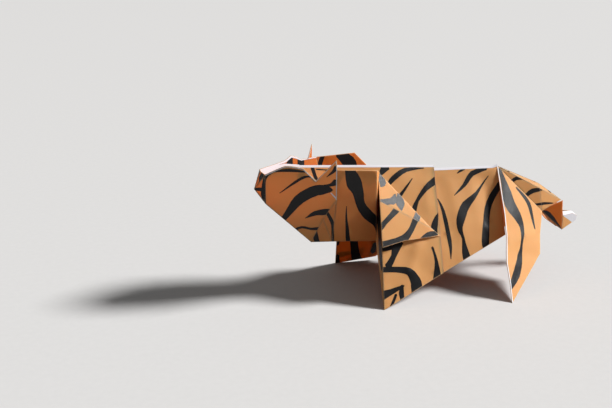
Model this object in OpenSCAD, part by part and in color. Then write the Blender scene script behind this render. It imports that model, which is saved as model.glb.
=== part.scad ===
// Origami tiger folded from one square of printed paper, standing on its four feet.
// X runs from the nose (-X) to the tail (+X), Y = 0 is the fold along the back, Z is up.
// Both sides are alike, so each panel is made for one side and mirrored.

/* [Paper] */
// Thickness of the pressed layers of one panel
layer_t = 0.24; // [0.16:0.02:0.36]
// Thickness of the printed fields
ink_t = 0.06; // [0.04:0.01:0.1]
// Width of the white line that shows where the paper turns over
white_w = 0.6; // [0.3:0.1:1]

/* [Body] */
// Length of the back, from above the front feet to the hips
back_l = 39.6; // [34:0.2:46]
// Height of the back's crest, at the pleat
back_h = 32.5; // [28:0.5:37]
// How far the hips are below the crest
hip_drop = 1.7; // [0:0.1:3]
// Step of the back at the pleat
pleat_step = 0.9; // [0.4:0.1:1.6]
// Distance of the pleat behind the front feet
pleat_x = 20.3; // [15:0.1:26]
// Lap of the layers inside the pleat
pleat_lap = 4; // [2:0.5:7]
// How far the front layer stands off the rear layer at the pleat
pleat_rise = 0.6; // [0.3:0.1:1.2]
// Distance of the pleat's lower end behind the front feet
pleat_foot_x = 18.4; // [14:0.1:23]
// Height of the pleat's lower end
pleat_foot_h = 6.6; // [4:0.1:10]
// Height of the belly edge at the hind end of the flank
belly_h = 13.6; // [10:0.2:18]
// Rise of the back from the pleat towards the head, for each millimetre of length
neck_slope = 0.079; // [0:0.005:0.15]

/* [Front legs] */
// Distance between the tips of the front feet
front_feet_w = 34.5; // [26:0.5:42]
// Distance of the leg's front fold behind the front feet, at the shoulder
shoulder_x = 4.2; // [2:0.1:8]
// Depth of the leg's front fold below the back, at the shoulder
shoulder_drop = 1.6; // [0.8:0.1:4]
// How far the shoulder tuck stands off the flank
tuck_rise = 1.6; // [0.6:0.1:2.6]
// Depth of the tuck below the shoulder
tuck_d = 20; // [16:0.5:22]
// Reach of the tuck's tip behind the shoulder
tuck_reach = 14.2; // [11:0.2:15]

/* [Hind legs] */
// Distance between the tips of the hind feet
hind_feet_w = 46; // [36:0.5:56]
// Distance of the hind feet behind the front feet
hind_foot_x = 33.8; // [28:0.2:40]
// Width of the hind leg at the knee
knee_w = 13.8; // [11:0.2:16]

/* [Head] */
// Reach of the nose ahead of the front feet
nose_reach = 29.7; // [26:0.1:34]
// How far the nose is below the back's crest
nose_drop = 2.2; // [0:0.1:4]
// Reach of the muzzle's top corners ahead of the front feet
muzzle_reach = 27.5; // [25:0.1:30]
// How far the muzzle's top corners are above the back's crest
muzzle_rise = 2.1; // [1:0.1:4]
// Width across the muzzle's top corners
muzzle_w = 5.4; // [4:0.1:8]
// Reach of the jaw corner ahead of the front feet
jaw_reach = 26.7; // [23:0.1:30]
// How far the jaw corner is below the back's crest
jaw_drop = 6.5; // [4:0.1:9]
// Reach of the chin ahead of the front feet
chin_reach = 14.4; // [11:0.1:18]
// How far the chin is below the back's crest
chin_drop = 18.3; // [15:0.1:21]
// How far the ears stand above the cheeks
ear_rise = 2.9; // [1.5:0.1:5]
// Depth of the notch in front of the ears
notch_d = 3.3; // [2:0.1:5]
// Reach of the neck's ridge ahead of the front feet, inside the head
neck_reach = 21.5; // [17:0.5:24]

/* [Ruff] */
// Reach of the ruff's front top corners ahead of the front feet
cheek_reach = 10.4; // [8:0.1:14]
// How far the ruff's front top corners are above the back's crest
cheek_rise = 3.6; // [2:0.1:6]
// Distance of the ruff's rear top corners behind the front feet
ruff_x = 0.5; // [-2:0.1:3]
// How far the ruff's rear top corners are above the back's crest
ruff_rise = 2.4; // [1:0.1:4]
// Width across the ruff's rear top corners
ruff_w = 16.4; // [12:0.2:22]
// Distance of the throat behind the front feet
throat_x = 3.6; // [1:0.1:6]
// How far the throat is below the back's crest
throat_drop = 19.4; // [17:0.1:22]
// Width of the bottom of the head at the throat
throat_w = 2.8; // [1.6:0.1:4]
// How far the corner where the ruff's front edge turns to the chin is below the back's crest
cheek_turn_drop = 5.1; // [3:0.1:8]

/* [Tail] */
// Distance of the tail's rear end behind the front feet
tail_reach = 66.8; // [58:0.2:76]
// Height of the tail's bend
bend_h = 19; // [15:0.2:23]
// Distance of the tail's bend behind the front feet
bend_x = 61; // [54:0.2:68]
// Width of the tail
tail_w = 2.8; // [1.8:0.1:4]
// Height of the lowest point of the tail
tail_low_h = 10; // [7:0.2:14]

/* [Hidden] */

half_t = layer_t / 2;
fold_gap = 0.3;
print_gap = 0.05;
stroke_steps = 2;
floor_box = [300, 200, 20];

// Corners of the near side, measured from the line between the front feet.
hip = [back_l, 0, back_h - hip_drop];
saddle = [pleat_x, 0, back_h - pleat_step];
crest = [pleat_x, 0, back_h];
neck_end = [-neck_reach, 0, crest.z + neck_slope * (pleat_x + neck_reach)];
front_foot = [0, -front_feet_w / 2, 0];
hind_foot = [hind_foot_x, -hind_feet_w / 2, 0];

// Vector helpers
function unit(a) = a / norm(a);
function normal(a, b, c) = unit(cross(b - a, c - a));
function y_on(o, n, x, z) = o.y - (n.x * (x - o.x) + n.z * (z - o.z)) / n.y;
function on_plane(o, n, x, z) = [x, y_on(o, n, x, z), z];
function line_of_planes(o, n, m, z) =
    let (d = cross(n, m)) o + d * ((z - o.z) / d.z);

// A panel's own frame: [origin, along, up, outward]. "Along" is level and runs to the tail.
function edge_frame(o, along, n) = let (x = unit(along)) [o, x, cross(n, x), n];
function frame(o, n) = edge_frame(o, cross([0, 0, 1], n), n);
function to_frame(f, p) = [(p - f[0]) * f[1], (p - f[0]) * f[2]];
function from_frame(f, q, h = 0) = f[0] + f[1] * q.x + f[2] * q.y + f[3] * h;

// Flank in front of the pleat, with the neck that runs on into the head
front_n = normal(crest, neck_end, front_foot);
front = frame(crest, front_n);
pleat_foot = on_plane(crest, front_n, pleat_foot_x, pleat_foot_h);
shoulder_h = crest.z + neck_slope * (pleat_x - shoulder_x) - shoulder_drop;
shoulder = on_plane(crest, front_n, shoulder_x, shoulder_h);

// Flank behind the pleat
rear_pleat_foot = pleat_foot - front_n * pleat_rise;
rear_n = normal(hip, saddle, rear_pleat_foot);
rear = frame(hip, rear_n);
belly = on_plane(hip, rear_n, back_l - 0.9, belly_h);
lap_dir = saddle - hip;
lap_top = saddle + unit(lap_dir) * pleat_lap;
lap_foot = rear_pleat_foot + unit(front_foot - belly) * pleat_lap;

// Face panel and ruff
muzzle = [-muzzle_reach, -muzzle_w / 2, back_h + muzzle_rise];
nose = [-nose_reach, 0, back_h - nose_drop];
nose_top = [-nose_reach + 0.8, 0, back_h + muzzle_rise + 0.2];
jaw = [-jaw_reach, 0, back_h - jaw_drop];
chin = [-chin_reach, 0, back_h - chin_drop];
face_n = normal(muzzle, chin, jaw) * -1;
cheek = on_plane(chin, face_n, -cheek_reach, back_h + cheek_rise);
face = frame(chin, face_n);
ruff_back = [ruff_x, -ruff_w / 2, back_h + ruff_rise];
throat = [throat_x, -throat_w / 2, back_h - throat_drop];
ruff_n = normal(cheek, throat, ruff_back);
ruff = frame(cheek, ruff_n);
cheek_turn = line_of_planes(cheek, face_n, ruff_n, back_h - cheek_turn_drop);
chin_back = on_plane(cheek, ruff_n, -cheek_reach + 1.1, back_h - chin_drop + 0.4);
face_turn = to_frame(face, cheek_turn);
face_cheek = to_frame(face, cheek);
jowl = [face_turn.x * 0.47, face_turn.y * 0.56];
jowl_point = from_frame(face, jowl);

// Tail: a first stretch to the bend, a second stretch down to the low point, and the tip
bend = [bend_x, 0, bend_h];
tail_corner = [bend_x - 7, -tail_w / 2, bend_h - 2.3];
knuckle = [bend_x - 8, 0, bend_h + 5.7];
knuckle_side = knuckle + [0, -0.4 * tail_w, -1.3];
inner_top = bend + [-0.4, -0.55 * tail_w, 0.2];
inner_corner = tail_corner + [0.4, 0.35 * tail_w, -0.1];
inner_low = [bend_x - 4, -0.32 * tail_w, tail_low_h + 3.4];
tail_low = [bend_x + 0.2, -0.55 * tail_w, tail_low_h + 0.4];
tip_root = [bend_x + 0.2, -0.55 * tail_w, tail_low_h + 4.6];
tip_shoulder = [tail_reach - 1.8, -0.2 * tail_w, tail_low_h + 4.6];
tip_end = [tail_reach, 0, tail_low_h + 3.6];
tip_low = [tail_reach - 0.2, 0, tail_low_h + 2.3];
tip_side = [tail_reach - 1.6, -0.12 * tail_w, tail_low_h + 1.8];

// Hind leg, folded out along the tail's lower edge
leg_n = normal(hip, hind_foot, tail_corner);
leg = frame(hip, leg_n);

x_mid = (tail_reach - nose_reach) / 2;

// Places flat work on a panel's frame, at a height above its middle plane
module on_frame(f, h = 0) {
    o = f[0] + f[3] * h;
    multmatrix([
        [f[1].x, f[2].x, f[3].x, o.x],
        [f[1].y, f[2].y, f[3].y, o.y],
        [f[1].z, f[2].z, f[3].z, o.z],
        [0, 0, 0, 1]
    ]) children();
}

// A flat panel of paper. Half the thickness is added all round, so that panels
// with a common edge run into each other there, as at a pressed fold.
module panel(f, outline) {
    on_frame(f, -half_t) linear_extrude(layer_t) offset(delta = half_t, chamfer = true) polygon(outline);
}

// Panels given by their corners in space
module facets(list) {
    for (c = list) {
        f = edge_frame(c[0], c[1] - c[0], normal(c[0], c[1], c[2]));
        panel(f, [for (p = c) to_frame(f, p)]);
    }
}

module both_sides() {
    children();
    mirror([0, 1, 0]) children();
}

// Outlines in the panels' frames, in millimetres from each frame's origin
ridge_front = to_frame(front, neck_end);
shoulder_flat = to_frame(front, shoulder);
front_outline = [
    ridge_front, [0, 0], to_frame(front, pleat_foot), to_frame(front, front_foot),
    shoulder_flat, shoulder_flat + [-4, -5], ridge_front + [8, -5]
];
rear_outline = [
    [0, 0], to_frame(rear, lap_top), to_frame(rear, lap_foot), to_frame(rear, rear_pleat_foot),
    to_frame(rear, belly)
];

// A point beside the line from a to b, part of the way along it
function beside(a, b, part, off) =
    let (d = b - a) a + d * part + [-d.y, d.x] / norm(d) * off;
leg_foot = to_frame(leg, hind_foot);
knee_low = beside([0, 0], leg_foot, 0.6, knee_w);
knee_top = beside([0, 0], leg_foot, 0.45, knee_w + 1);
leg_front = [for (s = [[0.18, 0.4], [0.36, 0.9], [0.51, 0.7], [0.72, -0.4], [0.87, 0.1]])
    beside([0, 0], leg_foot, s[0], s[1])];
leg_outline = concat([[0, 0]], leg_front, [leg_foot, knee_low, knee_top, to_frame(leg, tail_corner)]);

ear_tip = face_cheek + [-0.2, ear_rise];
notch = face_cheek + [-5.3, -notch_d];
brow = [for (d = [[-15.3, 0], [-12.5, 1.1], [-8.5, 0.4]]) face_cheek + d];
face_outline = concat(
    [[0, 0], to_frame(face, jaw), to_frame(face, muzzle)], brow,
    [notch, face_cheek + [-3, -0.6], ear_tip, face_cheek, face_turn, jowl]
);
ruff_outline = [
    [0, 0], to_frame(ruff, ruff_back), to_frame(ruff, throat), to_frame(ruff, chin_back),
    to_frame(ruff, cheek_turn)
];

// The raised triangle folded behind the shoulder: a narrow band above a crease, and a face below
tuck_top = from_frame(front, shoulder_flat + [-0.3, 0]);
tuck_crease = from_frame(front, shoulder_flat + [-1.8, -0.4 * tuck_d], tuck_rise);
tuck_low = from_frame(front, shoulder_flat + [-3, -tuck_d], tuck_rise);
tuck_tip = from_frame(front, shoulder_flat + [tuck_reach, 1.2 - tuck_d], tuck_rise * 0.2);
tuck_face = frame(tuck_crease, normal(tuck_crease, tuck_low, tuck_tip));
tuck_flat = [for (p = [tuck_crease, tuck_low, tuck_tip]) to_frame(tuck_face, p)];
tuck_belly = (tuck_flat[1] + tuck_flat[2]) / 2 + [-2, 0.6];
tuck_edge = tuck_flat[2] + [-4.8, 5.6];
tuck_outline = [tuck_flat[0], tuck_flat[1], tuck_belly, tuck_flat[2], tuck_edge];
tuck_edge_point = from_frame(tuck_face, tuck_edge);
tuck_cover = concat([shoulder_flat], [for (q = [tuck_flat[1], tuck_belly, tuck_flat[2], tuck_edge])
    to_frame(front, from_frame(tuck_face, q))]);

module flank() {
    panel(front, front_outline);
    panel(rear, rear_outline);
    facets([[crest, pleat_foot, lap_foot], [crest, lap_foot, lap_top]]);
}

module shoulder_tuck() {
    panel(tuck_face, tuck_outline);
    facets([[tuck_top, tuck_crease, tuck_edge_point]]);
}

module leg_front_face() {
    facets([[ruff_back, shoulder, throat], [shoulder, front_foot, throat]]);
}

module head() {
    panel(face, face_outline);
    panel(ruff, ruff_outline);
    facets([
        [cheek_turn, chin_back, jowl_point], [jowl_point, chin_back, chin],
        [muzzle, nose_top, nose], [muzzle, nose, jaw]
    ]);
}

function opposite(p) = [p.x, -p.y, p.z];

module chin_fold() {
    facets([
        [chin, chin_back, opposite(chin_back)],
        [chin_back, throat, opposite(throat), opposite(chin_back)]
    ]);
}

module hind_leg() {
    panel(leg, leg_outline);
}

module tail() {
    facets([
        [hip, knuckle, knuckle_side], [knuckle, bend, knuckle_side],
        [hip, knuckle_side, tail_corner], [knuckle_side, bend, tail_corner],
        [inner_corner, inner_top, tail_low], [inner_corner, tail_low, inner_low],
        [tip_root, tail_low, tip_side], [tip_root, tip_side, tip_shoulder],
        [tip_shoulder, tip_side, tip_low, tip_end]
    ]);
}

// A stroke of the print from stations [along, up, width] down its middle, with smooth sides
function curve(a, b, c, d, u) =
    (2 * b + (c - a) * u + (2 * a - 5 * b + 4 * c - d) * u ^ 2 + (3 * b - a - 3 * c + d) * u ^ 3) / 2;
function smooth(s) = let (last = len(s) - 1) concat(
    [for (i = [0 : last - 1], k = [0 : stroke_steps - 1])
        curve(s[max(i - 1, 0)], s[i], s[i + 1], s[min(i + 2, last)], k / stroke_steps)],
    [s[last]]
);
function heading(s, i) = let (d = s[min(i + 1, len(s) - 1)] - s[max(i - 1, 0)]) unit([d.x, d.y]);
function off_middle(s, i, ahead, aside) =
    let (d = heading(s, i)) [s[i].x, s[i].y] + (d * ahead + [-d.y, d.x] * aside) * s[i].z / 2;
function stroke(stations) = let (s = smooth(stations), last = len(s) - 1) concat(
    [off_middle(s, 0, -1, 0)],
    [for (i = [0 : last]) off_middle(s, i, 0, 1)],
    [off_middle(s, last, 1, 0)],
    [for (i = [last : -1 : 0]) off_middle(s, i, 0, -1)]
);

// Stripes in the panels' frames
neck_stripes = [[[-32, 3, 1.1], [-32, 0, 1.1]], [[-26.5, 2, 0.8], [-26, 0, 0.8]]];
front_stripes = [
    [[-14, -3.5, 1.1], [-11, -1.5, 1.1], [-7, -0.6, 1.1], [-3.5, -0.5, 0.8]],
    [[-16, -1, 1.1], [-14, 0.5, 1.1]],
    [[-11.5, -7, 0.7], [-7.5, -3, 0.2]],
    [[-8, -11.5, 1.3], [-6, -8, 1.3], [-3.5, -5, 1.3], [0, -3, 1.4]],
    [[-1.5, -13, 0.3], [-2.5, -15.5, 1.2], [-3, -17.5, 1.6]],
    [[-15, -21, 2], [-18, -25.5, 2.1]],
    [[-21, -26, 1], [-16, -26.5, 1.4], [-12.5, -27.5, 1.6], [-11, -29, 2.1], [-11, -31, 2.5],
        [-12, -32.5, 2.4]],
    [[-21.5, -33, 1.7], [-17, -31.5, 1.3], [-14.5, -30.5, 0.7]],
    [[-15, -31, 0.7], [-15.5, -34, 0.8]],
    [[-4.5, -22, 0.4], [-4, -25, 0.9], [-4.5, -29.5, 1.6]]
];
rear_stripes = [
    [[-19.5, -8.5, 0.3], [-18.5, -11, 0.8], [-18, -15, 1.1], [-18, -19, 1.1], [-18.5, -23.5, 0.3]],
    [[-13, -1, 0.4], [-10.5, 0, 0.5]],
    [[-14, -6.5, 0.3], [-11, -4, 1], [-7.5, -1.5, 1.1], [-3.5, -0.7, 0.4]],
    [[-3, -2.5, 0.3], [-6.5, -6, 0.8], [-9.5, -8, 1.9], [-12, -10, 2.4], [-13.5, -12.5, 2.4],
        [-14, -14.5, 1.2], [-14, -17.5, 0.8], [-14, -20.5, 0.8], [-14, -24.5, 1.8]],
    [[0, -5.5, 1.9], [-3.5, -10, 1.4], [-5.5, -13.5, 1.8], [-6.5, -17, 1.9], [-7.5, -21.5, 1.8]]
];
face_stripes = [
    [[-11.5, 21.5, 0.9], [-12, 19, 1], [-12, 16.5, 1], [-12, 14, 1], [-11.5, 12.5, 0.5]],
    [[-11.5, 20.5, 0.5], [-8.5, 22, 0.5], [-5, 23, 0.5], [-2, 22.5, 0.4]],
    [[-7.5, 16, 0.2], [-6, 18, 0.4], [-4, 19.5, 0.5], [-1.5, 21, 0.6], [0, 21, 0.3]],
    [[-7, 7.5, 0.7], [-5.5, 11.5, 1.6], [-3.5, 14, 2.2], [-0.5, 16, 2.4], [2, 17, 2], [4.5, 17, 1],
        [5.5, 16.5, 0.3]],
    [[3, 17.5, 0.8], [5, 19, 1], [6.5, 20, 0.9]],
    [[-1, 8.5, 0.3], [0.5, 9.5, 0.8], [2.5, 10.5, 1], [4.5, 10.5, 1]],
    [[-4, 4.5, 0.4], [-2, 5, 0.5], [0, 4.5, 0.5], [1.5, 4.5, 0.5]],
    [[4, 21, 0.2], [5.5, 22.5, 0.6], [6.5, 24, 0.6]]
];
ruff_stripes = [
    [[4, -12, 0.2], [4.5, -17, 0.7], [5.5, -23.5, 1.1]],
    [[3.5, 0, 2.3], [4.5, -3.5, 2.7], [6.5, -6, 2.2], [7, -9.5, 2.1], [9, -13.5, 2.1], [11, -16, 1.9],
        [13.5, -19.5, 1.3]]
];
leg_face_stripes = [
    [[2.5, -12, 1.1], [4.5, -17.5, 1.1], [7, -21.5, 1.1], [9.5, -24.5, 1.5], [9, -28, 1.7]],
    [[16.5, -26, 1.7], [15.5, -32.5, 1.9]]
];
leg_stripes = [
    [[0, -1, 0.8], [-1.5, -7, 2.2], [-1, -11, 2.2], [0.5, -15, 1.5], [1, -18, 1.2], [-2, -21.5, 0.8],
        [-4.5, -24.5, 0.8], [-6.5, -26.5, 1.4], [-10, -29.5, 1.3], [-14, -32, 0.4]],
    [[5, -8.5, 0.6], [7, -11, 0.8], [7.5, -14.5, 0.8], [5.5, -19.5, 0.5]]
];
tuck_band_stripes = [
    [[0, 0, 1.1], [0, -3, 2]], [[-2.5, -8, 0.5], [1, -7.5, 0.8], [3, -7, 0.5]],
    [[4, -6, 1], [3.5, -9, 2.2], [2.5, -11, 0.8]]
];
tuck_face_stripes = [
    [[-1.5, -7, 1], [2, -5, 1.2], [5, -3, 1.1]],
    [[10, -5, 1.3], [8.5, -7, 1.3], [5.5, -10, 1.6], [1.5, -11.5, 1], [-2.5, -12, 0.8]],
    [[8.5, -11.5, 0.5], [11, -11, 1.1], [14, -11, 0.8]]
];
cheek_stripes = [[[-2.5, -5, 0.5], [-1.5, -8, 0.8], [-1.5, -12.5, 0.8]]];
muzzle_stripes = [[[-1, 1, 0.8], [-1, -1.5, 1]], [[-2.5, -4.5, 0.5], [-1, -4, 0.8]]];
tail_side_stripes = [
    [[4.5, -4.5, 0.6], [6.5, -4, 1.1], [8.5, -4, 1.1]], [[9, -9, 0.7], [10.5, -8, 1], [13, -8, 1.1]]
];
tail_rear_stripes = [[[-1, 2, 0.7], [0.5, 2, 0.7], [3.5, 1.5, 0.6]]];
tail_inner_stripes = [[[1, -1, 0.6], [2.5, -1, 1.1], [3.5, -3, 1.2], [5, -4.5, 0.7]]];
face_inner_stripes = [[[2, 24, 1.9], [1, 20, 1.9]], [[-1.5, 24, 1.7], [-2, 20.5, 1.7]]];
ruff_inner_stripes = [[[7, -0.5, 2.2], [9.5, -4, 3]], [[2.5, 0.5, 1.2], [0.7, -3.5, 1.2]]];

// White lines: strokes laid along an edge, so that one side of each is inside the panel's outline
function along_edge(points, w = white_w) = [for (p = points) [p.x, p.y, 2 * (w + fold_gap)]];
slit = [
    [face_turn.x - 1.4, face_turn.y + 2.1, white_w / 2], [face_turn.x, face_turn.y + 0.3, white_w / 2]
];
rim = concat([to_frame(face, muzzle)], brow, [notch]);
face_white = [along_edge(rim, white_w / 2), along_edge([ear_tip, face_cheek, face_turn], white_w / 3), slit];

// One row for each printed panel: [frame, outline, stripes, white lines, covered part, inside]
function facet_row(c, stripes, white = []) =
    let (f = frame(c[0], normal(c[0], c[1], c[2])))
    [f, [for (p = c) to_frame(f, p)], stripes, white, [], false];
front_white = along_edge([ridge_front, [0, 0]]);
rear_white = along_edge([to_frame(rear, saddle), [0, 0]]);
leg_white = along_edge(concat([[0, 0]], leg_front, [leg_foot]), white_w / 2);
printed = [
    [front, front_outline, concat(neck_stripes, front_stripes), [front_white], tuck_cover, false],
    [rear, rear_outline, rear_stripes, [rear_white], [], false],
    [leg, leg_outline, leg_stripes, [leg_white], [], false],
    [face, face_outline, face_stripes, face_white, [], false],
    [face, face_outline, face_inner_stripes, [along_edge(rim, 2 * white_w)], [], true],
    [ruff, ruff_outline, ruff_stripes, [], [], false],
    [ruff, ruff_outline, ruff_inner_stripes, [], [], true],
    [tuck_face, tuck_outline, tuck_face_stripes, [], [], false],
    facet_row([tuck_top, tuck_crease, tuck_edge_point], tuck_band_stripes),
    facet_row([cheek_turn, jowl_point, chin_back], cheek_stripes),
    facet_row([muzzle, nose_top, nose], muzzle_stripes),
    facet_row([shoulder, throat, front_foot], leg_face_stripes),
    facet_row([hip, tail_corner, knuckle_side], tail_side_stripes),
    facet_row([tail_corner, bend, knuckle_side], tail_rear_stripes),
    facet_row([inner_corner, tail_low, inner_top], tail_inner_stripes),
    facet_row([tip_root, tip_side, tip_shoulder], [], [[[-1, -0.5, 1.2], [3.5, -0.5, 1.3]]])
];

module strokes(list) {
    for (s = list) polygon(stroke(s));
}

// Thin fields of colour face to face with a panel, clear of its folds and of what covers it
module fields(row, list, kept_off) {
    if (len(list) > 0) {
        on_frame(row[0], row[5] ? -half_t - ink_t : half_t) linear_extrude(ink_t) difference() {
            intersection() {
                offset(delta = -fold_gap) polygon(row[1]);
                strokes(list);
            }
            if (len(row[4]) > 0) offset(delta = fold_gap) polygon(row[4]);
            if (len(kept_off) > 0) offset(delta = print_gap) strokes(kept_off);
        }
    }
}

module placed() {
    translate([-x_mid, 0, 0]) children();
}

module folded_sheet() color([0.87, 0.62, 0.38]) placed() difference() {
    union() {
        both_sides() {
            flank();
            shoulder_tuck();
            leg_front_face();
            head();
            hind_leg();
            tail();
        }
        chin_fold();
    }
    translate([0, 0, -floor_box.z / 2]) cube(floor_box, center = true);
}

module stripe_print() color([0.12, 0.12, 0.13]) placed() both_sides() {
    for (row = printed) fields(row, row[2], row[3]);
}

module white_reverse() color([0.93, 0.92, 0.94]) placed() both_sides() {
    for (row = printed) fields(row, row[3], []);
}

folded_sheet();
stripe_print();
white_reverse();
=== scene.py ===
"""Origami tiger: folded printed paper, its stripes and its white reverse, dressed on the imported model."""

import math

import bpy
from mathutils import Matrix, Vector, noise
from mathutils.geometry import delaunay_2d_cdt


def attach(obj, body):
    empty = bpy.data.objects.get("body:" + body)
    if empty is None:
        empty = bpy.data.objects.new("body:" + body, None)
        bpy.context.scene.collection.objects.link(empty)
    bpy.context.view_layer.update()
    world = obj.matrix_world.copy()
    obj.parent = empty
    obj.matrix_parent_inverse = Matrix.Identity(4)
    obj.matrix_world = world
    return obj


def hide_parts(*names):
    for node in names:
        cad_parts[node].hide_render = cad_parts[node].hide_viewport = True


bl_info = {
    "name": "Origami Tiger",
    "version": (1, 0, 0),
    "blender": (4, 5, 0),
    "location": "View3D > Sidebar > Tiger",
    "description": "Folds a paper tiger from flat panels, with its print and its white reverse",
    "category": "Add Mesh",
}

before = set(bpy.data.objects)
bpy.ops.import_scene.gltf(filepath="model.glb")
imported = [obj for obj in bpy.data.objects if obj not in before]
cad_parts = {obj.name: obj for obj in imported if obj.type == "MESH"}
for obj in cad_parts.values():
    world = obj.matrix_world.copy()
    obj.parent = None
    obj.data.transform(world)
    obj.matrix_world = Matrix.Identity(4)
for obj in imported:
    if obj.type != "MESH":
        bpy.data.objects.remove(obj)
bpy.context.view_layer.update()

MM = 0.001
Z_UP = Vector((0, 0, 1))
SQUARE = ((-1, -1), (1, -1), (1, 1), (-1, 1))

# How panels and stripes are cut, in millimetres unless the comment says otherwise

END_REACH = 0.45  # how far a stripe's end runs on, as a share of its width
THINNEST = 0.08  # least width of a stripe
WANDER_SPREAD = 0.9  # how fast a stripe's edge wanders, for each millimetre
WANDER_SPLIT = 7.3  # keeps the wander of a stripe's two edges apart
EDGE_INSET = 0.45  # width of the row of triangles along a panel's edge
ROW_SHARE = 0.87  # height of a row of triangles, as a share of their spacing
BOW_REACH = 3.5  # distance from an edge at which a panel bows in full
BOW_SPREAD = 0.13  # how fast the bow changes, for each millimetre
CREASE_FADE = 2  # length over which a crease's ends fade
WORN_LIT_W = 0.45  # width of the lighter strip along a fold: scuffed print, and in part a painted highlight
CORNER_REACH = 1.4  # most that a rounded edge runs out at a corner, in half thicknesses
EDGE_TURN = 45  # angle between the rows that round a sheet's edge, in degrees
SHARP_ANGLE = 50  # folds past this angle are drawn sharp, in degrees
SHEET_SCALE = 0.01  # length of a millimetre on the sheet's own coordinates

# Widths of the white that shows along the edges, in millimetres

BROW_WHITE = 0.5
EAR_WHITE = 0.4
NOTCH_WHITE = 0.2
LEG_WHITE = 0.55
INNER_BROW_WHITE = 1.6

# Painted shade: the share of the darker, redder inner orange painted on a panel's outer face. It stands in
# for the shade on the head's single layers and for the light that comes through them

FACE_PAINTED_SHADE = 0.15
CHEEK_PAINTED_SHADE = 0.3
RUFF_PAINTED_SHADE = 0.4
MUZZLE_PAINTED_SHADE = 0.4
COLLAR_PAINTED_SHADE = 0.45
INNER_PAINTED_SHADE = 1.0  # an inner face, or a facet that is folded inside out: painted shade in full

# The white cap on the fold along the back, in millimetres

CAP_STEPS = 24  # number of sections
CAP_TIP_SHARE = 0.07  # share of the length over which the cap's end rises
CAP_WANDER = 0.04  # how far its line wanders up and down
CAP_WANDER_STEP = 0.4  # how fast it wanders, for each section
CAP_LIFT = 0.02  # height of its edges above the sheet
CAP_TOP = 0.05  # height of its top above the sheet
CAP_ROOT = 0.6  # depth of its root below the fold

# The stage

CAMERA_PLACE = Vector((-80.7, -212.1, 97.0))  # from the line between the front feet, in millimetres
KEY_WAY = Vector((0.80, -0.16, 0.58))  # from the figure towards the key light
KEY_SPREAD = 12  # width of the key light as the figure sees it, in degrees
FLOOR_HALF = 4.0  # half the floor's width, in metres
FLOOR_RETURN = 0.45  # share of its colour with which the floor lights the figure


def length_property(label, words, millimetres):
    """A size in metres, from its default in millimetres."""
    return bpy.props.FloatProperty(
        name=label, description=words, default=millimetres * MM, unit="LENGTH", precision=4
    )


def colour_property(label, words, value):
    return bpy.props.FloatVectorProperty(
        name=label, description=words, default=value, subtype="COLOR", min=0, max=1
    )


def angle_property(label, words, degrees):
    return bpy.props.FloatProperty(
        name=label, description=words, default=math.radians(degrees), subtype="ANGLE"
    )


class TigerBody(bpy.types.PropertyGroup):
    """Main sizes, measured from the line between the front feet."""

    back_l: length_property("Back length", "From above the front feet to the hips", 39.6)
    back_h: length_property("Back height", "Height of the back's crest", 32.5)
    front_feet: length_property("Front feet", "Distance between the tips of the front feet", 34.5)
    hind_feet: length_property("Hind feet", "Distance between the tips of the hind feet", 46)
    nose_reach: length_property("Nose reach", "Reach of the nose ahead of the front feet", 29.7)
    tail_reach: length_property("Tail reach", "Distance of the tail's end behind the front feet", 66.8)
    ruff_w: length_property("Ruff width", "Width across the ruff's rear top corners", 16.4)
    tail_w: length_property("Tail width", "Width of the tail", 2.8)


class TigerPaper(bpy.types.PropertyGroup):
    """The paper and its print."""

    sheet_t: length_property("Paper", "Thickness of a folded panel", 0.18)
    print_t: length_property("Print", "How far the print stands proud of the paper", 0.012)
    grid: length_property("Grid", "Spacing of the points inside a panel", 1.3)
    wave: length_property("Wave", "How far a panel's middle bows out of its plane", 0.16)
    ragged: length_property("Ragged edge", "How far the stripes' edges wander", 0.05)
    orange: colour_property("Orange", "Colour of the printed paper", (0.77, 0.35, 0.127))
    # The inner orange is painted shade and painted light through the paper. It is darker and redder than the
    # print, for inner faces and for the head's single layers
    painted_shade_orange: colour_property("Inner orange", "Colour of the paper's inner faces", (0.62, 0.15, 0.013))
    black: colour_property("Black", "Colour of the stripes", (0.011, 0.0105, 0.0115))
    white: colour_property("White", "Colour of the unprinted side", (0.84, 0.82, 0.86))


class TigerStage(bpy.types.PropertyGroup):
    """The camera, the floor and the light."""

    azimuth: angle_property("Azimuth", "Heading of the camera, from straight at the side", -17)
    elevation: angle_property("Elevation", "How far the camera looks down", 18)
    view_angle: angle_property("View angle", "Width of the camera's view", 38)
    floor: colour_property("Floor", "Colour of the floor", (0.72, 0.71, 0.70))
    key: bpy.props.FloatProperty(
        name="Key light", description="Strength of the key light, a sun, in watts per square metre",
        default=4.9, min=0,
    )
    fill: bpy.props.FloatProperty(
        name="Fill light", description="Strength of the even light from all round", default=0.14, min=0
    )


# Panels, folds and corners

class Frame:
    """A panel's own plane: x is level and runs to the tail, y runs up the panel, and n points outwards."""

    def __init__(self, origin, n):
        self.o = origin
        self.x = Z_UP.cross(n).normalized()
        self.n = n
        self.y = n.cross(self.x)

    def to(self, p):
        return Vector(((p - self.o).dot(self.x), (p - self.o).dot(self.y)))

    def at(self, q, h=0.0):
        return self.o + self.x * q[0] + self.y * q[1] + self.n * h


def normal_of(a, b, c):
    return (b - a).cross(c - a).normalized()


def on_plane(o, n, x, z):
    """The point of a plane that lies at x and z."""
    return Vector((x, o.y - (n.x * (x - o.x) + n.z * (z - o.z)) / n.y, z))


def point(x, y, z):
    return Vector((x, y, z))


def middle_x(body):
    """How far the middle of the figure's length lies behind the front feet, in millimetres."""
    return (body.tail_reach - body.nose_reach) / 2 / MM


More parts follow.
